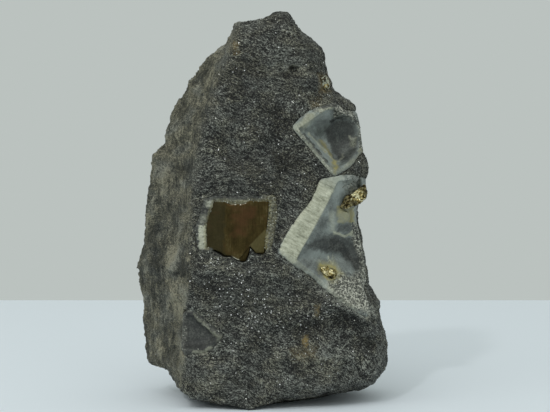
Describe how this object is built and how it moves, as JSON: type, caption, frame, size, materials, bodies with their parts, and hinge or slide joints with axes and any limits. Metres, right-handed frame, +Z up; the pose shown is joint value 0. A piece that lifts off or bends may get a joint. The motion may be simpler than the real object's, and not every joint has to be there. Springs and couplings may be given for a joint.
{
  "type": "mineral specimen",
  "caption": "Upright block of grey mica schist with a pyrite crystal in its face and quartz-lined cube moulds on its flank.",
  "frame": {"origin": "on the surface the block stands on, under the middle of its bounding box", "axes": "+Z up along the block, -Y out of the face with the crystal, +X towards the flank with the moulds"},
  "size_m": [0.0588, 0.0298, 0.09],
  "materials": {
    "mica_schist": "broken stone",
    "fibrous_quartz": "fibrous",
    "pyrite": "tarnished"
  },
  "bodies": {
    "root": {"schist_matrix": "mica_schist", "crystal_fringe_quartz": "fibrous_quartz", "large_mould_quartz": "fibrous_quartz", "upper_mould_quartz": "fibrous_quartz", "small_mould_quartz": "fibrous_quartz", "pyrite_crystal": "pyrite", "pyrite_flank_cluster": "pyrite", "pyrite_crown_grain": "pyrite", "pyrite_mould_grain": "pyrite"}
  },
  "joints": []
}
